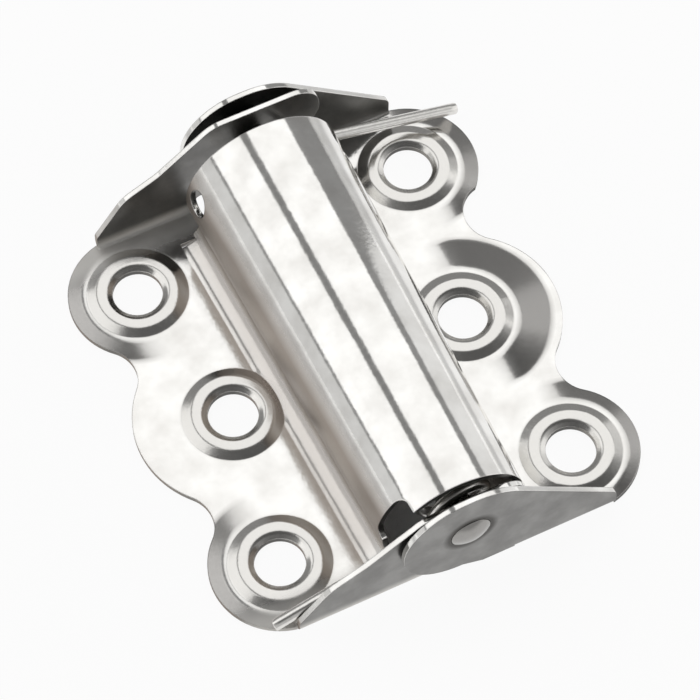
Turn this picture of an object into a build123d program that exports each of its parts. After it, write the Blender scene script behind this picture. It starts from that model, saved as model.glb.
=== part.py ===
"""Spring hinge of pressed sheet steel: two scalloped leaves, a riveted pin and a torsion spring.

Millimetres. The leaves lie flat on their backs at z = 0, the barrel runs along Y over the origin,
and the leaf with the barrel is on the -X side. Near is the -Y end, and far is the +Y end, where
the barrel flares widest. Pairs are always (near, far).
"""
from build123d import *
from math import atan2, copysign, cos, degrees, hypot, radians, sin, sqrt
import os

# Sheet steel of both leaves
sheet = 0.8
fold_radius = 0.8

# Pin and its riveted heads
pin_x = 0.9
pin_height = 11.6
pin_radius = 2.2
head_radius = 3.0
head_rise = 0.9
running_fit = 0.08
rivet_fit = 0.02

# Screw holes and the embossed rings round them
hole_radius = 3.55
boss_lip_radius = 4.45
boss_crest_radius = 5.8
boss_base_radius = 7.25
boss_rise = 0.55
boss_blend = 1.2

# Outer leaf, whose ears lie outside
outer_near_face = 35.15
outer_far_face = 36.0
outer_corner_x = 21.85
outer_corner_y = 25.35
outer_near_lobe = 9.65
outer_far_lobe = 10.2
outer_middle_x = 17.9
outer_middle_lobe_x = 18.55
outer_middle_lobe_y = -0.45
outer_middle_lobe = 13.35
outer_waist_radius = 4.9
outer_inner_edge = 8.0

# Ears of the outer leaf
outer_ear_height = 11.4
outer_ear_radius = 9.05
outer_ear_end = 23.6
outer_ear_nose = 2.2
outer_ear_nose_radius = 1.6
outer_ear_shoulder = 5.0
outer_ear_shoulder_radius = 10.0
outer_ear_heel = 3.2
outer_ear_sole = 1.0

# Inner leaf, whose ears lie inside the others
near_ear_gap = 0.6
far_ear_gap = 1.5
inner_corner_x = 21.85
inner_corner_y = 23.4
inner_corner_lobe = 9.9
inner_middle_x = 17.9
inner_middle_lobe = 14.1
inner_waist_radius = 5.0

# Ears of the inner leaf
inner_ear_end = 23.8
inner_ear_nose = 1.2
inner_ear_nose_radius = 1.0
inner_ear_knee_x = 19.3
inner_ear_knee_height = 9.6
inner_ear_hollow_x = 14.0
inner_ear_hollow_height = 12.3
inner_ear_hollow_radius = 5.0
inner_ear_shoulder_x = 5.2
inner_ear_round = 4.2
inner_ear_cheek_drop = 5.9
inner_ear_heel_x = 7.0
inner_ear_heel_height = 4.9
inner_ear_sole = 3.0
near_ear_root = 3.0
near_ear_top = 17.4
near_ear_reach = 10.0
near_ear_sag = 1.1
far_ear_root = 8.4
far_ear_top = 19.3
far_ear_reach = 11.3

# Barrel, the inner leaf's own edge curled over the pin
barrel_height = 11.4
barrel_near_end = 32.5
barrel_far_end = 28.4
barrel_near_radius = 10.2
barrel_far_radius = 11.6
barrel_root_fillet = 3.4
barrel_edge_angle = 50.0
near_slot_length = 1.5
far_slot_length = 1.0
slot_top = 14.0
near_relief_length = 3.0
near_relief_bottom = 11.5
near_relief_top = 19.2
near_relief_corner = 1.5
far_relief_y = 25.5
far_relief_height = 14.3
far_relief_radius = 2.0
relief_slit = 0.5

# Torsion spring
wire_radius = 0.85
coil_radius = 4.6
coil_turns = 14
near_leg_reach = 27.7
far_leg_reach = 31.4
leg_slope = 17.7
leg_bend_radius = 8.0
leg_seat_gap = 0.1
near_leg_gap = 0.15
far_leg_gap = 1.05

ear_foot = sheet + fold_radius
outer_faces = (outer_near_face, outer_far_face)
inner_faces = (outer_near_face - sheet - near_ear_gap, outer_far_face - sheet - far_ear_gap)
outer_corners = ((outer_corner_x, -outer_corner_y), (outer_corner_x, outer_corner_y))
inner_corners = ((inner_corner_x, -inner_corner_y), (inner_corner_x, inner_corner_y))
pin_axis = Pos(pin_x, 0, pin_height)


def waist_centre(corner, corner_lobe, middle, middle_lobe, waist):
    """Centre of the hollow arc that touches the corner lobe and the middle lobe from outside."""
    step_x = corner[0] - middle[0]
    step_y = corner[1] - middle[1]
    span = hypot(step_x, step_y)
    corner_reach = corner_lobe + waist
    middle_reach = middle_lobe + waist
    along = (middle_reach**2 - corner_reach**2 + span**2) / (2 * span)
    across = copysign(sqrt(middle_reach**2 - along**2), step_y)
    x = middle[0] + (along * step_x + across * step_y) / span
    y = middle[1] + (along * step_y - across * step_x) / span
    return x, y


def scallops(corners, lobes, middle, middle_lobe, waist, fold_lines):
    """Outline of a leaf from the barrel's axis outwards: three round lobes and two waists."""
    outline = Pos(*middle) * Circle(middle_lobe)
    hollows = [waist_centre(corner, min(lobes), middle, middle_lobe, waist) for corner in corners]
    for corner, lobe, hollow, fold_line in zip(corners, lobes, hollows, fold_lines):
        web = [(0, 0), middle, hollow, corner, (corner[0], fold_line), (0, fold_line)]
        outline += make_face(Polyline(*web, close=True))
        outline += Pos(*corner) * Circle(lobe)
    for hollow in hollows:
        outline -= Pos(*hollow) * Circle(waist)
    return outline


def leaf_plate(outline, edges, fold_lines, ear_end, reach):
    """Flat plate cut from the outline: a slanted inner edge, and straight sides where the ears fold."""
    near_line, far_line = fold_lines
    between_folds = Polyline(
        (edges[0], near_line), (ear_end, near_line), (ear_end, far_line), (edges[1], far_line), close=True
    )
    beyond_folds = Pos((ear_end + reach) / 2, 0) * Rectangle(reach - ear_end, 2 * reach)
    return extrude(outline & (make_face(between_folds) + beyond_folds), sheet)


def screw_boss():
    """Ring of sheet pressed up round a screw hole, hollow behind and dished down to the hole."""
    lower = [
        (boss_base_radius, 0),
        (boss_crest_radius, boss_rise),
        (boss_lip_radius, boss_rise),
        (hole_radius, 0),
    ]
    upper = [(r, z + sheet) for r, z in reversed(lower)]
    blends = [0, boss_blend, boss_blend, 0, 0, boss_blend, boss_blend, 0]
    section = make_face(FilletPolyline(*lower, *upper, radius=blends, close=True))
    return revolve(Plane.XZ * section, Axis.Z)


def with_screw_holes(plate, places):
    """The plate with its three embossed screw holes."""
    boss = screw_boss()
    for place in places:
        plate -= Pos(*place, sheet / 2) * Cylinder(boss_base_radius, 2 * sheet)
        plate += Pos(*place, 0) * boss
    return plate


def ear_fold(side, face, start_x, end_x):
    """Quarter bend that turns the plate up into an ear."""
    ring = Circle(ear_foot) - Circle(fold_radius)
    quarter = Pos(side * ear_foot / 2, -ear_foot / 2) * Rectangle(ear_foot, ear_foot)
    section = Pos(side * (face - ear_foot), ear_foot) * (ring & quarter)
    return Pos(start_x, 0, 0) * extrude(Plane.YZ * section, end_x - start_x)


def ear_plate(side, face, outline, bore_x, bore_radius):
    """Upright ear cut to an outline in X and Z, with the bore for the pin."""
    outer_side = face if side > 0 else -face + sheet
    outline -= Pos(bore_x, pin_height) * Circle(bore_radius)
    return Pos(0, outer_side, 0) * extrude(Plane.XZ * outline, sheet)


def outer_ear_outline():
    """Ear with a round end over the pin that slopes down to the plate."""
    top = outer_ear_height + outer_ear_radius
    corners = [
        (0, top),
        (outer_ear_shoulder, top),
        (outer_ear_end, ear_foot + outer_ear_nose),
        (outer_ear_end, ear_foot),
        (outer_inner_edge, ear_foot),
        (outer_inner_edge, outer_ear_sole),
        (outer_ear_heel, outer_ear_sole),
        (0, outer_ear_height - outer_ear_radius),
    ]
    radii = [0, outer_ear_shoulder_radius, outer_ear_nose_radius, 0, 0, 0, 0, 0]
    flank = make_face(FilletPolyline(*corners, radius=radii, close=True))
    return flank + Pos(0, outer_ear_height) * Circle(outer_ear_radius)


def outer_leaf():
    """Leaf with the outside ears."""
    fold_lines = (ear_foot - outer_near_face, outer_far_face - ear_foot)
    lobes = (outer_near_lobe, outer_far_lobe)
    middle_lobe_centre = (outer_middle_lobe_x, outer_middle_lobe_y)
    outline = scallops(
        outer_corners, lobes, middle_lobe_centre, outer_middle_lobe, outer_waist_radius, fold_lines
    )
    reach = outer_corner_y + outer_far_lobe + sheet
    edges = (outer_inner_edge, outer_inner_edge)
    plate = leaf_plate(outline, edges, fold_lines, outer_ear_end, reach)
    leaf = with_screw_holes(plate, [*outer_corners, (outer_middle_x, 0)])
    ear = outer_ear_outline()
    for side, face in zip((-1, 1), outer_faces):
        leaf += ear_fold(side, face, outer_inner_edge, outer_ear_end)
        leaf += ear_plate(side, face, ear, pin_x, pin_radius + rivet_fit)
    return leaf


def inner_ear_outline(root, top, reach, sag):
    """Ear with a blunt round head beyond the pin and a hollow slope down to the plate."""
    corners = [
        (inner_ear_end, ear_foot),
        (inner_ear_end, ear_foot + inner_ear_nose),
        (inner_ear_knee_x, inner_ear_knee_height - sag),
        (inner_ear_hollow_x, inner_ear_hollow_height - sag),
        (inner_ear_shoulder_x, top),
        (-reach, top),
        (-reach, top - inner_ear_cheek_drop),
        (-inner_ear_heel_x, inner_ear_heel_height),
        (root, inner_ear_sole),
        (root, ear_foot),
    ]
    hollow = inner_ear_hollow_radius
    radii = [0, inner_ear_nose_radius, hollow, hollow, hollow, inner_ear_round, hollow, hollow, fold_radius, 0]
    return make_face(FilletPolyline(*corners, radius=radii, close=True))


def root_x(radius):
    """Where the hollow fillet at the foot of a barrel of this radius runs out on the plate."""
    rise = barrel_height - sheet - barrel_root_fillet
    return sqrt((radius + barrel_root_fillet) ** 2 - rise**2)


def root_section(radius, y):
    """Cross-section at y of the barrel's root: hollow fillet off the plate, then up to pin level."""
    foot_x = root_x(radius)
    fillet_z = sheet + barrel_root_fillet
    touch = degrees(atan2(fillet_z - barrel_height, foot_x))
    centre = (0, barrel_height)
    heel = (foot_x, fillet_z)
    over = CenterArc(centre, radius, touch, -touch)
    under = CenterArc(centre, radius - sheet, touch, -touch)
    hollow = CenterArc(heel, barrel_root_fillet, 180 + touch, 90 - touch)
    back = CenterArc(heel, barrel_root_fillet + sheet, 180 + touch, 90 - touch)
    edges = [over, under, hollow, back, Line(over @ 1, under @ 1), Line(hollow @ 1, back @ 1)]
    return Pos(0, y, 0) * (Plane.XZ * make_face(edges))


def barrel():
    """Flared curl of sheet over the pin: a lofted root, then a cone round to the free edge."""
    near = root_section(barrel_near_radius, -barrel_near_end)
    far = root_section(barrel_far_radius, barrel_far_end)
    strip = [
        (-barrel_near_end, barrel_near_radius),
        (barrel_far_end, barrel_far_radius),
        (barrel_far_end, barrel_far_radius - sheet),
        (-barrel_near_end, barrel_near_radius - sheet),
    ]
    level = Plane(origin=(0, 0, barrel_height), x_dir=(0, 1, 0), z_dir=(0, 0, -1))
    axis = Axis((0, 0, barrel_height), (0, -1, 0))
    cone = revolve(level * make_face(Polyline(*strip, close=True)), axis, 180 + barrel_edge_angle)
    return loft([near, far], ruled=True) + cone


def curl_reliefs():
    """Cutter for the curl's root side: a slot at each end, a wide notch near and a round hole far."""
    near_notch = RectangleRounded(
        2 * near_relief_length, near_relief_top - near_relief_bottom, near_relief_corner
    )
    near_middle = (near_relief_top + near_relief_bottom) / 2
    openings = Pos(-barrel_near_end, near_middle) * near_notch
    openings += Pos(far_relief_y, far_relief_height) * Circle(far_relief_radius)
    openings += Pos(-barrel_near_end, 0) * Rectangle(2 * near_slot_length, 2 * slot_top)
    openings += Pos(barrel_far_end, 0) * Rectangle(2 * far_slot_length, 2 * ear_foot)
    depth = barrel_far_radius + barrel_root_fillet + ear_foot
    return extrude(Plane.YZ * openings, depth)


def relief_tongue(side, root_end, ear_root, fold_line):
    """Strip of plate left flat past the curl's root, running in under the barrel to the ear's root."""
    start_y = root_end + side * relief_slit
    length = barrel_far_radius + barrel_root_fillet - ear_root
    tongue = Box(length, abs(fold_line - start_y), sheet)
    return Pos(ear_root + length / 2, (start_y + fold_line) / 2, sheet / 2) * tongue


def inner_leaf():
    """Leaf with the inside ears and the barrel, modelled on +X and then turned to its own side."""
    fold_lines = (ear_foot - inner_faces[0], inner_faces[1] - ear_foot)
    middle = (inner_middle_x, 0)
    lobes = (inner_corner_lobe, inner_corner_lobe)
    outline = scallops(inner_corners, lobes, middle, inner_middle_lobe, inner_waist_radius, fold_lines)
    edges = (root_x(barrel_near_radius), root_x(barrel_far_radius))
    reach = inner_corner_y + inner_corner_lobe + sheet
    plate = leaf_plate(outline, edges, fold_lines, inner_ear_end, reach)
    leaf = with_screw_holes(plate, [*inner_corners, middle])
    leaf += barrel() - curl_reliefs()
    root_ends = (near_slot_length - barrel_near_end, barrel_far_end - far_slot_length)
    ear_roots = (near_ear_root, far_ear_root)
    for side, root_end, ear_root, fold_line in zip((-1, 1), root_ends, ear_roots, fold_lines):
        leaf += relief_tongue(side, root_end, ear_root, fold_line)
    near_ear = inner_ear_outline(near_ear_root, near_ear_top, near_ear_reach, near_ear_sag)
    far_ear = inner_ear_outline(far_ear_root, far_ear_top, far_ear_reach, 0)
    for side, face, ear_root, ear in zip((-1, 1), inner_faces, ear_roots, (near_ear, far_ear)):
        leaf += ear_fold(side, face, ear_root, inner_ear_end)
        leaf += ear_plate(side, face, ear, -pin_x, pin_radius + running_fit)
    return mirror(leaf, about=Plane.YZ)


def rivet_head():
    """Low dome of a riveted head, standing on z = 0."""
    dome_radius = (head_radius**2 + head_rise**2) / (2 * head_rise)
    ball = Pos(0, 0, head_rise - dome_radius) * Sphere(dome_radius)
    return ball & (Pos(0, 0, dome_radius) * Cylinder(dome_radius, 2 * dome_radius))


def hinge_pin():
    """Pin with a low domed head riveted down on each outside ear."""
    length = outer_near_face + outer_far_face
    shank = Pos(0, 0, length / 2) * Cylinder(pin_radius, length)
    pin = shank + Pos(0, 0, length) * rivet_head() + mirror(rivet_head(), about=Plane.XY)
    return pin_axis * Pos(0, -outer_near_face, 0) * Rot(-90, 0, 0) * pin


def leg_path(side, reach, y):
    """Tip, end of the straight run and start of the coil of one leg, measured from the pin.

    The straight run slopes down to rest on the leaf, and an arc bends it up onto the coil.
    """
    slope = radians(leg_slope)
    tip_z = sheet + leg_seat_gap + wire_radius - pin_height
    offset = reach * sin(slope) + tip_z * cos(slope)
    run = (side * cos(slope), -sin(slope))
    up = (side * sin(slope), cos(slope))
    bend_up = offset + leg_bend_radius
    bend_out = sqrt((coil_radius + leg_bend_radius) ** 2 - bend_up**2)
    bend_centre = [bend_up * u + bend_out * r for u, r in zip(up, run)]
    run_end = [offset * u + bend_out * r for u, r in zip(up, run)]
    share = coil_radius / (coil_radius + leg_bend_radius)
    coil_start = [share * c for c in bend_centre]
    places = [(side * reach, tip_z), run_end, coil_start]
    return [Vector(x, y, z) for x, z in places], Vector(-run[0], 0, -run[1])


def torsion_spring():
    """One wire: near leg on the inner leaf, coil round the pin, far leg on the outer leaf."""
    near_y = sheet + near_leg_gap + wire_radius - inner_faces[0]
    far_y = inner_faces[1] - sheet - far_leg_gap - wire_radius
    near, near_run = leg_path(-1, near_leg_reach, near_y)
    far, far_run = leg_path(1, far_leg_reach, far_y)
    start = degrees(atan2(near[2].Z, near[2].X))
    finish = degrees(atan2(far[2].Z, far[2].X))
    turned = 360 * coil_turns + start - finish
    wound = Plane(origin=(0, near_y, 0), x_dir=(1, 0, 0), z_dir=(0, 1, 0))
    coil = Helix(360 * (far_y - near_y) / turned, far_y - near_y, coil_radius)
    route = [
        Line(near[0], near[1]),
        TangentArc(near[1], near[2], tangent=near_run),
        wound.location * Rot(0, 0, -start) * coil,
        TangentArc(far[1], far[2], tangent=far_run),
        Line(far[0], far[1]),
    ]
    section = Plane(origin=near[0], z_dir=near_run) * Circle(wire_radius)
    return pin_axis * sweep(section, Wire(route), is_frenet=True)


os.makedirs("parts", exist_ok=True)
nodes = {
    "inner_leaf": inner_leaf(),
    "outer_leaf": outer_leaf(),
    "hinge_pin": hinge_pin(),
    "torsion_spring": torsion_spring(),
}
for node, shape in nodes.items():
    export_step(shape, f"parts/{node}.step")
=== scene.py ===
"""Looks of the spring hinge: bright plated sheet steel on a pale floor in a soft light tent."""

from math import atan2, cos, radians, sin, sqrt

import bpy
import numpy as np
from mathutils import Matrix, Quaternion, Vector


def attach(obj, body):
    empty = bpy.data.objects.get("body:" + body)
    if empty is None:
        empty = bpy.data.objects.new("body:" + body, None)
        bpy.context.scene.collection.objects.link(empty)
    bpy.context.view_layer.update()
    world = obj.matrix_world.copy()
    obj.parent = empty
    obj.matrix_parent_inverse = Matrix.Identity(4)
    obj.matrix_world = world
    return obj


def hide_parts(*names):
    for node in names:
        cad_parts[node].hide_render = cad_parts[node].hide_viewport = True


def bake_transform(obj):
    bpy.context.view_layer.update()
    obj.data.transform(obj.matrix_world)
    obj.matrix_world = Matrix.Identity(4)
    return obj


bl_info = {
    "name": "Spring hinge looks",
    "version": (1, 0, 0),
    "blender": (4, 5, 0),
    "location": "3D View > Sidebar > Hinge",
    "description": "Finishes of a pressed steel spring hinge, its pin and wire, and the studio round it",
    "category": "Object",
}

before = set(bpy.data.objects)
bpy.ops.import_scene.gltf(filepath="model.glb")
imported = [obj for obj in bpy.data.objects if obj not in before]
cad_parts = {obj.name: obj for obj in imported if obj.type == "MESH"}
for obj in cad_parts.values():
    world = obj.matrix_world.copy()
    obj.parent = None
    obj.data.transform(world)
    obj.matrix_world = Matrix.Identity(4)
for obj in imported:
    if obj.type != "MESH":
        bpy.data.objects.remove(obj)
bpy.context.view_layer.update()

MM = 0.001

# Pin line and wire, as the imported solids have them, in millimetres
PIN_X = 0.9
PIN_HEIGHT = 11.6
SHEET = 0.8
PIN_RADIUS = 2.2
HEAD_RADIUS = 3.0
HEAD_RISE = 0.9
PIN_NEAR = -35.15
PIN_FAR = 36.0
WIRE_RADIUS = 0.85
WIRE_CUT_EDGE = 0.12
COIL_RADIUS = 4.6
COIL_TURNS = 14
NEAR_LEG_REACH = 27.7
FAR_LEG_REACH = 31.4
NEAR_LEG_Y = -31.95
FAR_LEG_Y = 31.0
LEG_SLOPE = radians(17.7)
LEG_BEND = 8.0
LEG_SEAT_GAP = 0.1

# Points and rings of the turned pin and the wound wire, and the shape of the wire's cut ends
HEAD_RINGS = 16
HEAD_POLE = 0.06
PIN_SIDES = 64
WIRE_SIDES = 20
TURN_POINTS = 44
LEG_POINTS = 20
BEND_POINTS = 14
CUT_MIDDLE = 0.3

# Radius that tumbling leaves on the sheet's cut edges, in millimetres
EDGE_ROUND = 0.24

# Screw holes in millimetres: place, where the lobe's slope starts and stops from there, and the slope
INNER_HOLES = (((21.85, 23.4), 7.7, 11.0, 0.3), ((17.9, 0.0), 8.0, 11.0, 0.0))
OUTER_HOLES = (((21.85, 25.35), 7.9, 11.0, 0.4), ((17.9, 0.0), 8.0, 12.7, 0.4))

# Where the rings, lobes, root, pin's seat, foot and cut edge begin and are full, in millimetres
RING_RADIUS = 7.3
RING_FADE = 0.3
LOBE_FADE = 0.5
LOBE_INSIDE = -1.0
LOBE_OUTSIDE = 5.0
ROOT_OUTSIDE = 14.5
ROOT_INSIDE = 10.5
ROOT_TOP = 7.5
ROOT_LOW = 3.5
ROOT_END = 31.0
ROOT_FULL = 25.0
SEAT_RADIUS = 3.3
SEAT_EDGE = 4.2
FOOT_START = 27.0
FOOT_FULL = 31.0
FOOT_TOP = 3.0
FOOT_LOW = 1.0
CUT_EDGE_TOP = 1.1
CUT_EDGE_LOW = 0.85

# Where on the normal's part up, along the pin or across a finish begins and is full
CUT_EDGE_UP = (0.6, 0.3)
EAR_ALONG = (0.4, 0.9)
LOW_SIDE_ACROSS = (-0.78, -0.95)

# Noise levels at which clouds begin and are full; the ears' painted shade and haze cover at least EAR_LEAST
MILKY_CLOUDS = (0.35, 0.75)
EAR_CLOUDS = (0.35, 0.65)
EAR_LEAST = 0.9

# Grain of the finish in millimetres. Plating crystals and die lines are hundredths of a millimetre and
# too fine to show, so the mottle and the drawn steel's clouds are drawn coarser than they are
CLOUD_GRAIN = 4.5
MOTTLE_GRAIN = 0.6
WAVE_GRAIN = 7.0
WAVE_HEIGHT = 0.04
MOTTLE_SHARE = 0.16
PIN_GRAIN = 1.2
WIRE_GRAIN = 0.8
DRAWN_HEIGHT = 0.01

# Roughness of each steel, and what each finish on the plating adds to it
PLATING_ROUGHNESS = (0.04, 0.14)
PIN_ROUGHNESS = 0.08
WIRE_ROUGHNESS = 0.2
DRAWN_SPREAD = 0.1
DRAWN_GREY = 0.8
HAZE = {
    "milky": 0.02,
    "rings": 0.08,
    "lobes": 0.14,
    "cut_edge": 0.3,
    "ear": 0.26,
    "seat": 0.1,
    "root": 0.12,
    "foot": 0.35,
    "low_side": 0.3,
}

# Light tent: panels from x to x and out to y, as shares of the tent's height; brightness 1 is white
TENT_HEIGHT = 600.0
PANELS = (
    ("left_wing", -2.15, -1.70, 1.5),
    ("left_softbox", -1.70, -0.30, 1.3),
    ("right_softbox", -0.12, 1.19, 1.3),
)
PANEL_START = 0.02
PANEL_LIGHT = 0.93

# Cards beside the hinge: centre, width and height in millimetres, where they face, and brightness
CARDS = (
    ("left_card", (-260.0, 60.0, 56.0), 900.0, 112.0, (1, 0, 0), 0.42),
    ("right_card", (240.0, -52.0, 76.0), 340.0, 152.0, (-1, 0, 0), 0.56),
)

# Brightness of the tent's walls by their direction's part along y and z
BEHIND_FROM_Y = (-0.3, 0.3)
BEHIND_LIGHT = (0.1, 0.24)
WALL_FROM_Y = (0.1, 0.3)
WALL_LIGHT = (0.55, 0.28)
WALL_TOP_Z = (0.85, 0.6)

# Floor and its paper, in millimetres, and how white the mirrored paper is
FLOOR_HALF = 3000.0
FLOOR_DROP = 0.05
PAPER_LIFT = 0.93
PAPER_NEAR = 58.0
PAPER_EDGE = 80.0
COVERED_CENTRE = (0.0, -5.7, 0.0)
COVERED_HALVES = (11.0, 25.7, 1.0)
COVERED_FADE = 1.04

# Camera and where it looks, in millimetres
CAMERA_PLACE = (-109.9, -217.7, 449.7)
CAMERA_AIM = (1.39, 2.47, 0.0)
CAMERA_ROLL = radians(0.9)
CAMERA_LENS = 187.5
SENSOR_WIDTH = 36.0
CAMERA_NEAR = 10.0


def linear(code):
    """An sRGB hex colour as linear red, green and blue."""
    shares = np.array([int(code[i : i + 2], 16) for i in (1, 3, 5)]) / 255
    curved = np.where(shares <= 0.04045, shares / 12.92, ((shares + 0.055) / 1.055) ** 2.4)
    return tuple(float(share) for share in curved)


class HingeSizes(bpy.types.PropertyGroup):
    """Sizes of the worked pieces that a user may change."""

    coil_turns: bpy.props.IntProperty(
        name="Coil turns",
        description="How often the spring wire goes round the pin",
        default=COIL_TURNS,
        min=2,
    )
    head_rise: bpy.props.FloatProperty(
        name="Head rise",
        description="Height of the domed rivet heads over the ears",
        default=HEAD_RISE * MM,
        subtype="DISTANCE",
        unit="LENGTH",
    )
    edge_round: bpy.props.FloatProperty(
        name="Edge round",
        description="Radius that tumbling and plating leave on the sheet's cut edges",
        default=EDGE_ROUND * MM,
        subtype="DISTANCE",
        unit="LENGTH",
    )


class HingeColours(bpy.types.PropertyGroup):
    """Colours of the finishes and of the studio."""

    plating: bpy.props.FloatVectorProperty(
        name="Plating",
        description="Bright plating on the pressed sheet",
        default=linear("#F1F0ED"),
        size=3,
        subtype="COLOR",
    )
    clouded: bpy.props.FloatVectorProperty(
        name="Clouded plating",
        description="Plating where the bath left it milky",
        default=linear("#DCDAD6"),
        size=3,
        subtype="COLOR",
    )
    # Painted shade: a warm grey darkening of the root crease beside the barrel
    root_shade: bpy.props.FloatVectorProperty(
        name="Root shade",
        description="Painted shade: warm grey in the root beside the barrel",
        default=linear("#CFCAC5"),
        size=3,
        subtype="COLOR",
    )
    # Painted shade: brown on the inner leaf's faces turned towards -x, the barrel's side
    shade: bpy.props.FloatVectorProperty(
        name="Side shade",
        description="Painted shade: brown on the faces turned towards -x",
        default=linear("#9F968E"),
        size=3,
        subtype="COLOR",
    )
    # Painted shade: a dark ring round the rivet heads
    rivet_shade: bpy.props.FloatVectorProperty(
        name="Rivet shade",
        description="Painted shade: a dark ring round the rivet heads",
        default=linear("#4E4C49"),
        size=3,
        subtype="COLOR",
    )
    # Painted reflection: grey patches on the leaves' lobes, standing in for a dark thing mirrored there
    pressed: bpy.props.FloatVectorProperty(
        name="Lobe reflection",
        description="Painted reflection: grey on the leaf's lobes round the screw holes",
        default=linear("#B4B2AF"),
        size=3,
        subtype="COLOR",
    )
    # Painted shade: dark cut edges of the sheet near the floor
    edge_shade: bpy.props.FloatVectorProperty(
        name="Cut edge shade",
        description="Painted shade on the sheet's cut edges near the floor",
        default=linear("#8F8B85"),
        size=3,
        subtype="COLOR",
    )
    # Painted shade on the ears' faces along the pin; the haze added with it is a real matt finish
    matt_and_shade: bpy.props.FloatVectorProperty(
        name="Ear shade",
        description="Painted shade: darker grey on the ears' faces, with a matt haze",
        default=linear("#777674"),
        size=3,
        subtype="COLOR",
    )
    pin: bpy.props.FloatVectorProperty(
        name="Pin",
        description="Riveted steel pin",
        default=linear("#A3A19E"),
        size=3,
        subtype="COLOR",
    )
    wire: bpy.props.FloatVectorProperty(
        name="Spring wire",
        description="Hard-drawn spring wire",
        default=linear("#EFEDE9"),
        size=3,
        subtype="COLOR",
    )
    floor: bpy.props.FloatVectorProperty(
        name="Floor",
        description="Plain pale studio floor",
        default=linear("#FAFAFA"),
        size=3,
        subtype="COLOR",
    )


def add_node(tree, kind, inputs=None, **settings):
    """Adds a shader node with its settings; an input takes a link from a socket or a plain value."""
    node = tree.nodes.new(kind)
    for name, value in settings.items():
        setattr(node, name, value)
    for name, value in (inputs or {}).items():
        if isinstance(value, bpy.types.NodeSocket):
            tree.links.new(value, node.inputs[name])
        else:
            node.inputs[name].default_value = value
    return node


def new_material(name):
    """An empty node material and its output node."""
    material = bpy.data.materials.new(name)
    material.use_nodes = True
    tree = material.node_tree
    tree.nodes.clear()
    return material, tree, tree.nodes.new("ShaderNodeOutputMaterial")


def rgba(colour):
    """A colour property with full opacity."""
    return (*colour, 1.0)


def round_holes(tree, place, normal, holes):
    """The normal, the pressed rings' share and the sloping lobes' share round the screw holes.

    A lobe adds slope * share * (point - hole) / |point - hole| to the normal. Its share is 1 from
    start to end out from the hole and on the hole's outer side, and fades to 0 elsewhere. The pattern
    is mirrored in x and y.
    """
    mirrored = add_node(tree, "ShaderNodeVectorMath", {0: place}, operation="ABSOLUTE").outputs[0]
    side = add_node(tree, "ShaderNodeVectorMath", {0: place}, operation="SIGN").outputs[0]
    rings = 0.0
    lobes = 0.0
    for hole, start, end, slope in holes:
        offset = add_node(
            tree, "ShaderNodeVectorMath", {0: mirrored, 1: (*hole, 0)}, operation="SUBTRACT"
        ).outputs[0]
        level = add_node(
            tree, "ShaderNodeVectorMath", {0: offset, 1: (1, 1, 0)}, operation="MULTIPLY"
        ).outputs[0]
        reach = add_node(tree, "ShaderNodeVectorMath", {0: level}, operation="LENGTH").outputs["Value"]
        ring = add_node(
            tree,
            "ShaderNodeMapRange",
            {0: reach, 1: RING_RADIUS + RING_FADE, 2: RING_RADIUS - RING_FADE},
        ).outputs[0]
        rings = add_node(tree, "ShaderNodeMath", {0: ring, 1: rings}, operation="MAXIMUM").outputs[0]
        if not slope:
            continue
        across = add_node(tree, "ShaderNodeSeparateXYZ", {0: offset}).outputs["X"]
        outer = add_node(
            tree,
            "ShaderNodeMapRange",
            {0: across, 1: LOBE_INSIDE, 2: LOBE_OUTSIDE},
            interpolation_type="SMOOTHSTEP",
        ).outputs[0]
        begins = add_node(
            tree, "ShaderNodeMapRange", {0: reach, 1: start - LOBE_FADE, 2: start + LOBE_FADE}
        ).outputs[0]
        ends = add_node(
            tree, "ShaderNodeMapRange", {0: reach, 1: end + LOBE_FADE, 2: end - LOBE_FADE}
        ).outputs[0]
        band = add_node(tree, "ShaderNodeMath", {0: begins, 1: ends}, operation="MULTIPLY").outputs[0]
        share = add_node(tree, "ShaderNodeMath", {0: band, 1: outer}, operation="MULTIPLY").outputs[0]
        lobes = add_node(tree, "ShaderNodeMath", {0: share, 1: lobes}, operation="MAXIMUM").outputs[0]
        radial = add_node(tree, "ShaderNodeVectorMath", {0: level}, operation="NORMALIZE").outputs[0]
        sized = add_node(
            tree, "ShaderNodeVectorMath", {0: side, 1: (slope, slope, 0)}, operation="MULTIPLY"
        ).outputs[0]
        away = add_node(
            tree, "ShaderNodeVectorMath", {0: radial, 1: sized}, operation="MULTIPLY"
        ).outputs[0]
        lean = add_node(
            tree, "ShaderNodeVectorMath", {0: away, "Scale": share}, operation="SCALE"
        ).outputs[0]
        turned = add_node(
            tree,
            "ShaderNodeVectorTransform",
            {0: lean},
            vector_type="VECTOR",
            convert_from="OBJECT",
            convert_to="WORLD",
        ).outputs[0]
        normal = add_node(
            tree, "ShaderNodeVectorMath", {0: normal, 1: turned}, operation="ADD"
        ).outputs[0]
    normal = add_node(tree, "ShaderNodeVectorMath", {0: normal}, operation="NORMALIZE").outputs[0]
    return normal, rings, lobes


def faded_box(tree, place, fades):
    """Share of a box with soft sides: each fade is an axis and where along it the share is 0 and 1."""
    parts = add_node(tree, "ShaderNodeSeparateXYZ", {0: place}).outputs
    along = add_node(tree, "ShaderNodeMath", {0: parts["Y"]}, operation="ABSOLUTE").outputs[0]
    values = {"X": parts["X"], "Z": parts["Z"], "along": along}
    share = 1.0
    for axis, none, full in fades:
        fade = add_node(
            tree,
            "ShaderNodeMapRange",
            {0: values[axis], 1: none, 2: full},
            interpolation_type="SMOOTHSTEP",
        ).outputs[0]
        share = add_node(tree, "ShaderNodeMath", {0: fade, 1: share}, operation="MULTIPLY").outputs[0]
    return share


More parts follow.
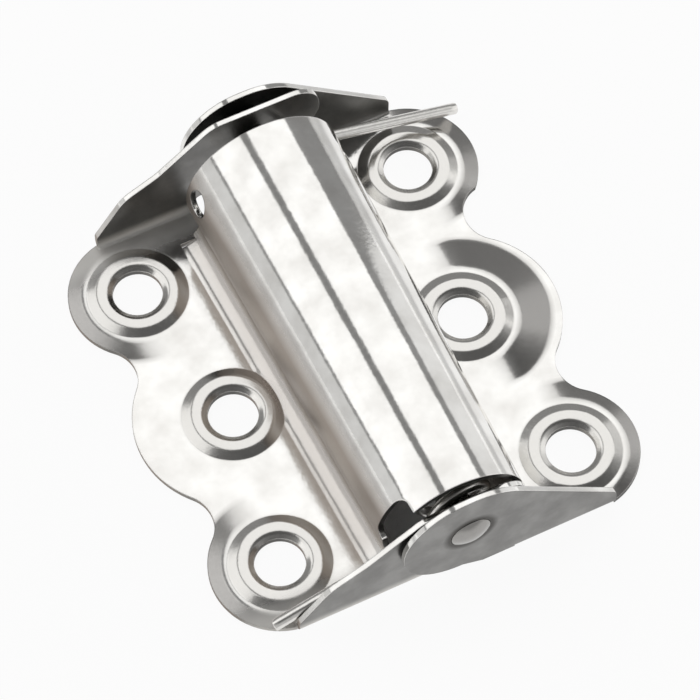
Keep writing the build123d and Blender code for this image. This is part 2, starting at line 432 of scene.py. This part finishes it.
def plated_steel(name, colours, holes, edge_round, rooted):
    """Bright zinc plating on pressed cold-rolled sheet.

    The steel is rolled, blanked, pressed and barrel-plated, which leaves a mirror with faint
    grey clouds, lobes that slope away round their rings, tumbled edges, and ears dragged matt
    by the folding die. Into the colour are painted a grey painted reflection on the lobes, and
    painted shade on the cut edges near the floor, on the ears' faces along the pin, in a ring
    round the rivet heads, and on the inner leaf in the root and on faces turned towards -x.
    """
    material, tree, output = new_material(name)
    coordinates = add_node(tree, "ShaderNodeTexCoord").outputs
    place = add_node(
        tree, "ShaderNodeVectorMath", {0: coordinates["Object"], "Scale": 1 / MM}, operation="SCALE"
    ).outputs[0]
    clouds = add_node(
        tree, "ShaderNodeTexNoise", {"Vector": place, "Scale": 1 / CLOUD_GRAIN, "Detail": 4}
    ).outputs[0]
    mottle = add_node(
        tree, "ShaderNodeTexNoise", {"Vector": place, "Scale": 1 / MOTTLE_GRAIN, "Detail": 3}
    ).outputs[0]
    waves = add_node(
        tree, "ShaderNodeTexNoise", {"Vector": place, "Scale": 1 / WAVE_GRAIN, "Detail": 1}
    ).outputs[0]
    height = add_node(
        tree, "ShaderNodeMath", {0: mottle, 1: MOTTLE_SHARE, 2: waves}, operation="MULTIPLY_ADD"
    ).outputs[0]
    rounded = add_node(tree, "ShaderNodeBevel", {"Radius": edge_round}, samples=6).outputs[0]
    sloped, rings, lobes = round_holes(tree, place, rounded, holes)
    skin = add_node(
        tree, "ShaderNodeBump", {"Height": height, "Normal": sloped, "Distance": WAVE_HEIGHT * MM}
    ).outputs[0]
    facing = add_node(tree, "ShaderNodeSeparateXYZ", {0: coordinates["Normal"]}).outputs
    level = add_node(tree, "ShaderNodeSeparateXYZ", {0: place}).outputs["Z"]
    upright = add_node(tree, "ShaderNodeMath", {0: facing["Z"]}, operation="ABSOLUTE").outputs[0]
    along = add_node(tree, "ShaderNodeMath", {0: facing["Y"]}, operation="ABSOLUTE").outputs[0]
    # Painted shade: steep faces below CUT_EDGE_TOP, the cut edges near the floor, are painted dark
    steep = add_node(
        tree, "ShaderNodeMapRange", {0: upright, 1: CUT_EDGE_UP[0], 2: CUT_EDGE_UP[1]}
    ).outputs[0]
    low = add_node(tree, "ShaderNodeMapRange", {0: level, 1: CUT_EDGE_TOP, 2: CUT_EDGE_LOW}).outputs[0]
    cut_edge = add_node(tree, "ShaderNodeMath", {0: steep, 1: low}, operation="MULTIPLY").outputs[0]
    # Painted shade: faces turned along the pin, the ears, get a darker colour in noisy patches, and haze
    ear_patches = add_node(
        tree, "ShaderNodeMapRange", {0: clouds, 1: EAR_CLOUDS[0], 2: EAR_CLOUDS[1], 3: EAR_LEAST}
    ).outputs[0]
    upstand = add_node(
        tree, "ShaderNodeMapRange", {0: along, 1: EAR_ALONG[0], 2: EAR_ALONG[1]}
    ).outputs[0]
    ear = add_node(tree, "ShaderNodeMath", {0: upstand, 1: ear_patches}, operation="MULTIPLY").outputs[0]
    # Painted shade: a dark ring on the ears round the pin, where the rivet head sits
    from_pin = add_node(
        tree, "ShaderNodeVectorMath", {0: place, 1: (PIN_X, 0, PIN_HEIGHT)}, operation="SUBTRACT"
    ).outputs[0]
    across = add_node(
        tree, "ShaderNodeVectorMath", {0: from_pin, 1: (1, 0, 1)}, operation="MULTIPLY"
    ).outputs[0]
    reach = add_node(tree, "ShaderNodeVectorMath", {0: across}, operation="LENGTH").outputs["Value"]
    seat = add_node(tree, "ShaderNodeMapRange", {0: reach, 1: SEAT_EDGE, 2: SEAT_RADIUS}).outputs[0]
    milky = add_node(
        tree, "ShaderNodeMapRange", {0: clouds, 1: MILKY_CLOUDS[0], 2: MILKY_CLOUDS[1]}
    ).outputs[0]
    colour = rgba(colours.plating)
    roughness = add_node(
        tree,
        "ShaderNodeMapRange",
        {0: mottle, 3: PLATING_ROUGHNESS[0], 4: PLATING_ROUGHNESS[1]},
    ).outputs[0]
    layers = [
        (milky, colours.clouded, HAZE["milky"]),
        (rings, colours.clouded, HAZE["rings"]),
        # Painted reflection: the lobes are painted grey
        (lobes, colours.pressed, HAZE["lobes"]),
        (cut_edge, colours.edge_shade, HAZE["cut_edge"]),
        (ear, colours.matt_and_shade, HAZE["ear"]),
        (seat, colours.rivet_shade, HAZE["seat"]),
    ]
    if rooted:
        # Painted shade: faces turned towards -x, the barrel's side and root, are painted brown
        low_side = add_node(
            tree,
            "ShaderNodeMapRange",
            {0: facing["X"], 1: LOW_SIDE_ACROSS[0], 2: LOW_SIDE_ACROSS[1]},
        ).outputs[0]
        # Painted shade: the root crease beside the barrel is painted warm grey
        beside = ("X", -ROOT_OUTSIDE, -ROOT_INSIDE)
        root = faded_box(tree, place, (beside, ("Z", ROOT_TOP, ROOT_LOW), ("along", ROOT_END, ROOT_FULL)))
        foot = faded_box(tree, place, (("along", FOOT_START, FOOT_FULL), ("Z", FOOT_TOP, FOOT_LOW)))
        layers += [
            (root, colours.root_shade, HAZE["root"]),
            (foot, colours.clouded, HAZE["foot"]),
            (low_side, colours.shade, HAZE["low_side"]),
        ]
    for share, tint, haze in layers:
        colour = add_node(
            tree, "ShaderNodeMix", {0: share, 6: colour, 7: rgba(tint)}, data_type="RGBA"
        ).outputs[2]
        roughness = add_node(
            tree, "ShaderNodeMath", {0: share, 1: haze, 2: roughness}, operation="MULTIPLY_ADD"
        ).outputs[0]
    surface = add_node(
        tree,
        "ShaderNodeBsdfPrincipled",
        {"Base Color": colour, "Roughness": roughness, "Normal": skin, "Metallic": 1},
    )
    tree.links.new(surface.outputs[0], output.inputs["Surface"])
    return material


def drawn_steel(name, colour, roughness, grain):
    """Bright drawn steel: the die leaves a satin skin with soft grey clouds, their grain in millimetres."""
    material, tree, output = new_material(name)
    place = add_node(tree, "ShaderNodeTexCoord").outputs["Object"]
    clouds = add_node(
        tree, "ShaderNodeTexNoise", {"Vector": place, "Scale": 1 / (grain * MM), "Detail": 3}
    ).outputs[0]
    skin = add_node(tree, "ShaderNodeBump", {"Height": clouds, "Distance": DRAWN_HEIGHT * MM}).outputs[0]
    grey = [DRAWN_GREY * share for share in colour]
    tint = add_node(
        tree, "ShaderNodeMix", {0: clouds, 6: rgba(colour), 7: rgba(grey)}, data_type="RGBA"
    ).outputs[2]
    satin = add_node(
        tree, "ShaderNodeMapRange", {0: clouds, 3: roughness, 4: roughness + DRAWN_SPREAD}
    ).outputs[0]
    surface = add_node(
        tree,
        "ShaderNodeBsdfPrincipled",
        {"Base Color": tint, "Roughness": satin, "Normal": skin, "Metallic": 1},
    )
    tree.links.new(surface.outputs[0], output.inputs["Surface"])
    return material


def ring_skin(name, rings):
    """A closed mesh from rings of points in millimetres, rows by sides, closed by a pole at each end.

    Every ring turns the same way round the line of travel, so that row by row the faces look out.
    """
    rows, sides, _ = rings.shape
    poles = np.array([rings[0].mean(axis=0), rings[-1].mean(axis=0)])
    points = np.concatenate([rings.reshape(-1, 3), poles]) * MM
    this = np.arange(sides)
    after = (this + 1) % sides
    row = (np.arange(rows - 1) * sides)[:, None]
    quads = np.stack([row + this, row + after, row + sides + after, row + sides + this], axis=2)
    last = (rows - 1) * sides
    start_fan = np.stack([after, this, np.full(sides, rows * sides)], axis=1)
    end_fan = np.stack([last + this, last + after, np.full(sides, rows * sides + 1)], axis=1)
    faces = quads.reshape(-1, 4).tolist() + start_fan.tolist() + end_fan.tolist()
    mesh = bpy.data.meshes.new(name)
    mesh.from_pydata(points.tolist(), [], faces)
    mesh.shade_smooth()
    piece = bpy.data.objects.new(name, mesh)
    bpy.context.scene.collection.objects.link(piece)
    return piece


def finish_with(piece, material):
    """Gives a piece its one material, in one slot."""
    piece.data.materials.clear()
    piece.data.materials.append(material)


def rivet_profile(head_rise):
    """Radius and place along the pin: a shank between domes of height rise * (1 - (r / R)^2)."""
    share = np.linspace(HEAD_POLE, 1, HEAD_RINGS)
    head_r = HEAD_RADIUS * share
    head_y = head_rise * (1 - share**2)
    near = np.stack([head_r, PIN_NEAR - head_y], axis=1)
    far = np.stack([head_r, PIN_FAR + head_y], axis=1)[::-1]
    shank = np.array([[PIN_RADIUS, PIN_NEAR], [PIN_RADIUS, PIN_FAR]])
    return np.concatenate([near, shank, far])


def leg_route(side, reach):
    """One leg in the plane across the pin, tip first, as points about the pin.

    A straight run slopes down to rest on the leaf, and an arc tangent to it bends onto the coil.
    """
    tip_z = SHEET + LEG_SEAT_GAP + WIRE_RADIUS - PIN_HEIGHT
    offset = reach * sin(LEG_SLOPE) + tip_z * cos(LEG_SLOPE)
    run = np.array([side * cos(LEG_SLOPE), -sin(LEG_SLOPE)])
    up = np.array([side * sin(LEG_SLOPE), cos(LEG_SLOPE)])
    rise = offset + LEG_BEND
    out = sqrt((COIL_RADIUS + LEG_BEND) ** 2 - rise**2)
    centre = rise * up + out * run
    run_end = offset * up + out * run
    coil_start = centre * COIL_RADIUS / (COIL_RADIUS + LEG_BEND)
    tip = np.array([side * reach, tip_z])
    first = atan2(*(run_end - centre)[::-1])
    turned = atan2(*(coil_start - centre)[::-1]) - first
    turned = (turned + np.pi) % (2 * np.pi) - np.pi
    angle = first + turned * np.linspace(0, 1, BEND_POINTS)[:-1]
    bend = centre + LEG_BEND * np.stack([np.cos(angle), np.sin(angle)], axis=1)
    straight = tip + np.linspace(0, 1, LEG_POINTS)[:-1, None] * (run_end - tip)
    return np.concatenate([straight, bend]), atan2(coil_start[1], coil_start[0])


def wire_route(turns):
    """Centre line of the whole wire: near leg, helix round the pin, far leg, as points."""
    near, start = leg_route(-1, NEAR_LEG_REACH)
    far, finish = leg_route(1, FAR_LEG_REACH)
    share = np.linspace(0, 1, TURN_POINTS * turns)
    angle = start - (2 * np.pi * turns + start - finish) * share
    y = NEAR_LEG_Y + (FAR_LEG_Y - NEAR_LEG_Y) * share
    coil = np.stack([COIL_RADIUS * np.cos(angle), y, COIL_RADIUS * np.sin(angle)], axis=1)
    near = np.insert(near, 1, NEAR_LEG_Y, axis=1)
    far = np.insert(far[::-1], 1, FAR_LEG_Y, axis=1)
    return np.concatenate([near, coil, far]) + (PIN_X, 0, PIN_HEIGHT)


def wire_rings(route):
    """Circles square to the route, with a small broken edge and a flat cut at both ends."""
    along = np.gradient(route, axis=0)
    along /= np.linalg.norm(along, axis=1)[:, None]
    across = np.cross(along, (0, 1, 0))
    across /= np.linalg.norm(across, axis=1)[:, None]
    up = np.cross(along, across)
    angle = np.linspace(0, 2 * np.pi, WIRE_SIDES, endpoint=False)
    circle = np.cos(angle)[None, :, None] * across[:, None] + np.sin(angle)[None, :, None] * up[:, None]
    cut = np.array([1, CUT_MIDDLE, 0]) * WIRE_CUT_EDGE
    back = np.array([0, CUT_MIDDLE, 1]) * WIRE_CUT_EDGE
    body = route[1:-1, None] + WIRE_RADIUS * circle[1:-1]
    first = route[0] + back[:, None, None] * along[0] + (WIRE_RADIUS - cut)[:, None, None] * circle[0]
    last = (WIRE_RADIUS - cut[::-1])[:, None, None] * circle[-1] - back[::-1, None, None] * along[-1]
    last += route[-1]
    return np.concatenate([first, body, last])


class HINGE_OT_leaves(bpy.types.Operator):
    """Finish the two pressed leaves in bright plating"""

    bl_idname = "hinge.leaves"
    bl_label = "Plate the leaves"

    def execute(self, context):
        colours = context.scene.hinge_colours
        edge_round = context.scene.hinge_sizes.edge_round
        leaves = (("inner_leaf", INNER_HOLES, True), ("outer_leaf", OUTER_HOLES, False))
        for node, holes, rooted in leaves:
            name = "Barrel_plated_pressed_steel_" + node
            material = plated_steel(name, colours, holes, edge_round, rooted)
            finish_with(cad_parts[node], material)
        return {"FINISHED"}


class HINGE_OT_pin(bpy.types.Operator):
    """Turn the riveted pin with its two domed heads"""

    bl_idname = "hinge.pin"
    bl_label = "Rivet the pin"

    def execute(self, context):
        profile = rivet_profile(context.scene.hinge_sizes.head_rise / MM)
        angle = np.linspace(0, 2 * np.pi, PIN_SIDES, endpoint=False)
        x = PIN_X + profile[:, :1] * np.cos(angle)
        z = PIN_HEIGHT - profile[:, :1] * np.sin(angle)
        y = np.broadcast_to(profile[:, 1:], x.shape)
        pin = ring_skin("riveted_pin", np.stack([x, y, z], axis=2))
        colour = context.scene.hinge_colours.pin
        steel = drawn_steel("Riveted_plated_steel", colour, PIN_ROUGHNESS, PIN_GRAIN)
        finish_with(pin, steel)
        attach(pin, "outer")
        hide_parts("hinge_pin")
        return {"FINISHED"}


class HINGE_OT_spring(bpy.types.Operator):
    """Wind the torsion spring from one wire"""

    bl_idname = "hinge.spring"
    bl_label = "Wind the spring"

    def execute(self, context):
        rings = wire_rings(wire_route(context.scene.hinge_sizes.coil_turns))
        spring = ring_skin("spring_wire", rings)
        colour = context.scene.hinge_colours.wire
        steel = drawn_steel("Hard_drawn_spring_wire", colour, WIRE_ROUGHNESS, WIRE_GRAIN)
        finish_with(spring, steel)
        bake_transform(spring)
        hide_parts("torsion_spring")
        return {"FINISHED"}


def floor_material(colour):
    """Matt white paper: it takes the soft shadow, and to the eye it stays near white.

    Mirrored in the metal only the paper near the hinge is lifted, and none of it under the barrel,
    where little light gets in.
    """
    material, tree, output = new_material("Matt_white_paper")
    paper = add_node(tree, "ShaderNodeBsdfDiffuse", {"Color": rgba(colour)}).outputs[0]
    glow = add_node(tree, "ShaderNodeEmission", {"Strength": 1}).outputs[0]
    ray = add_node(tree, "ShaderNodeLightPath").outputs
    place = add_node(
        tree,
        "ShaderNodeVectorMath",
        {0: add_node(tree, "ShaderNodeTexCoord").outputs["Object"], "Scale": 1 / MM},
        operation="SCALE",
    ).outputs[0]
    reach = add_node(tree, "ShaderNodeVectorMath", {0: place}, operation="LENGTH").outputs["Value"]
    sheet = add_node(tree, "ShaderNodeMapRange", {0: reach, 1: PAPER_EDGE, 2: PAPER_NEAR}).outputs[0]
    mirrored = add_node(
        tree, "ShaderNodeMath", {0: ray["Is Glossy Ray"], 1: sheet}, operation="MULTIPLY"
    ).outputs[0]
    looked_at = add_node(
        tree,
        "ShaderNodeMath",
        {0: ray["Is Camera Ray"], 1: ray["Is Transmission Ray"]},
        operation="MAXIMUM",
    ).outputs[0]
    seen = add_node(tree, "ShaderNodeMath", {0: looked_at, 1: mirrored}, operation="MAXIMUM").outputs[0]
    from_middle = add_node(
        tree, "ShaderNodeVectorMath", {0: place, 1: COVERED_CENTRE}, operation="SUBTRACT"
    ).outputs[0]
    in_halves = add_node(
        tree, "ShaderNodeVectorMath", {0: from_middle, 1: COVERED_HALVES}, operation="DIVIDE"
    ).outputs[0]
    share = add_node(tree, "ShaderNodeVectorMath", {0: in_halves}, operation="ABSOLUTE").outputs[0]
    parts = add_node(tree, "ShaderNodeSeparateXYZ", {0: share}).outputs
    farther = add_node(
        tree, "ShaderNodeMath", {0: parts["X"], 1: parts["Y"]}, operation="MAXIMUM"
    ).outputs[0]
    clear = add_node(
        tree, "ShaderNodeMapRange", {0: farther, 1: 1, 2: COVERED_FADE, 4: PAPER_LIFT}
    ).outputs[0]
    lift = add_node(tree, "ShaderNodeMath", {0: seen, 1: clear}, operation="MULTIPLY").outputs[0]
    mix = add_node(tree, "ShaderNodeMixShader", {0: lift, 1: paper, 2: glow})
    tree.links.new(mix.outputs[0], output.inputs["Surface"])
    return material


def tent_world():
    """Light tent: pale walls in front, grey ones behind, and dark overhead towards the viewer."""
    world = bpy.data.worlds.new("Light_tent")
    world.use_nodes = True
    tree = world.node_tree
    tree.nodes.clear()
    way = add_node(tree, "ShaderNodeTexCoord").outputs["Generated"]
    parts = add_node(tree, "ShaderNodeSeparateXYZ", {0: way}).outputs
    levels = []
    for reach, light in ((BEHIND_FROM_Y, BEHIND_LIGHT), (WALL_FROM_Y, WALL_LIGHT)):
        level = add_node(
            tree,
            "ShaderNodeMapRange",
            {0: parts["Y"], 1: reach[0], 2: reach[1], 3: light[0], 4: light[1]},
        ).outputs[0]
        levels.append(level)
    behind, wall = levels
    low = add_node(
        tree, "ShaderNodeMapRange", {0: parts["Z"], 1: WALL_TOP_Z[0], 2: WALL_TOP_Z[1], 4: wall}
    ).outputs[0]
    level = add_node(tree, "ShaderNodeMath", {0: behind, 1: low}, operation="MAXIMUM").outputs[0]
    tent = add_node(tree, "ShaderNodeBackground", {"Color": (1, 1, 1, 1), "Strength": level}).outputs[0]
    add_node(tree, "ShaderNodeOutputWorld", {"Surface": tent})
    bpy.context.scene.world = world


def softbox(name, centre, width, depth, aim, radiance):
    """A flat panel of light at a point in millimetres, facing the aim; the camera doesn't see it."""
    lamp = bpy.data.lights.new(name, "AREA")
    lamp.shape = "RECTANGLE"
    lamp.size = width * MM
    lamp.size_y = depth * MM
    lamp.energy = radiance * np.pi * width * depth * MM**2
    stand = bpy.data.objects.new(name, lamp)
    stand.location = Vector(centre) * MM
    stand.rotation_mode = "QUATERNION"
    stand.rotation_quaternion = Vector(aim).to_track_quat("-Z", "Y")
    stand.visible_camera = False
    bpy.context.scene.collection.objects.link(stand)


def overhead(name, left, right, far):
    """One overhead softbox from x to x and out to y, given as shares of the tent's height."""
    centre = np.array([(left + right) / 2, (PANEL_START + far) / 2, 1]) * TENT_HEIGHT
    width = (right - left) * TENT_HEIGHT
    depth = (far - PANEL_START) * TENT_HEIGHT
    softbox(name, centre, width, depth, (0, 0, -1), PANEL_LIGHT)


class HINGE_OT_stage(bpy.types.Operator):
    """Set the pale floor, the light tent and the camera"""

    bl_idname = "hinge.stage"
    bl_label = "Set the stage"

    def execute(self, context):
        half = FLOOR_HALF * MM
        drop = -FLOOR_DROP * MM
        corners = [(-half, -half, drop), (half, -half, drop), (half, half, drop), (-half, half, drop)]
        mesh = bpy.data.meshes.new("floor")
        mesh.from_pydata(corners, [], [(0, 1, 2, 3)])
        mesh.materials.append(floor_material(context.scene.hinge_colours.floor))
        floor = bpy.data.objects.new("floor", mesh)
        context.scene.collection.objects.link(floor)
        tent_world()
        for panel in PANELS:
            overhead(*panel)
        for card in CARDS:
            softbox(*card)
        lens = bpy.data.cameras.new("camera")
        lens.lens = CAMERA_LENS
        lens.sensor_width = SENSOR_WIDTH
        lens.clip_start = CAMERA_NEAR * MM
        camera = bpy.data.objects.new("camera", lens)
        camera.location = Vector(CAMERA_PLACE) * MM
        aim = Vector(CAMERA_AIM) - Vector(CAMERA_PLACE)
        camera.rotation_mode = "QUATERNION"
        roll = Quaternion((0, 0, 1), CAMERA_ROLL)
        camera.rotation_quaternion = aim.to_track_quat("-Z", "Y") @ roll
        context.scene.collection.objects.link(camera)
        context.scene.camera = camera
        context.scene.view_settings.view_transform = "Standard"
        return {"FINISHED"}


class HINGE_PT_panel(bpy.types.Panel):
    """Lists the hinge's sizes, colours and steps"""

    bl_idname = "HINGE_PT_panel"
    bl_label = "Spring hinge"
    bl_space_type = "VIEW_3D"
    bl_region_type = "UI"
    bl_category = "Hinge"

    def draw(self, context):
        for group in (context.scene.hinge_sizes, context.scene.hinge_colours):
            for name in group.__annotations__:
                self.layout.prop(group, name)
        for step in STEPS:
            self.layout.operator(step.bl_idname)


STEPS = (HINGE_OT_leaves, HINGE_OT_pin, HINGE_OT_spring, HINGE_OT_stage)
CLASSES = (HingeSizes, HingeColours, *STEPS, HINGE_PT_panel)


def register():
    for item in CLASSES:
        bpy.utils.register_class(item)
    bpy.types.Scene.hinge_sizes = bpy.props.PointerProperty(type=HingeSizes)
    bpy.types.Scene.hinge_colours = bpy.props.PointerProperty(type=HingeColours)


def unregister():
    del bpy.types.Scene.hinge_colours
    del bpy.types.Scene.hinge_sizes
    for item in reversed(CLASSES):
        bpy.utils.unregister_class(item)


def main():
    """Runs every step in order."""
    register()
    bpy.ops.hinge.leaves()
    bpy.ops.hinge.pin()
    bpy.ops.hinge.spring()
    bpy.ops.hinge.stage()


if __name__ == "__main__":
    main()
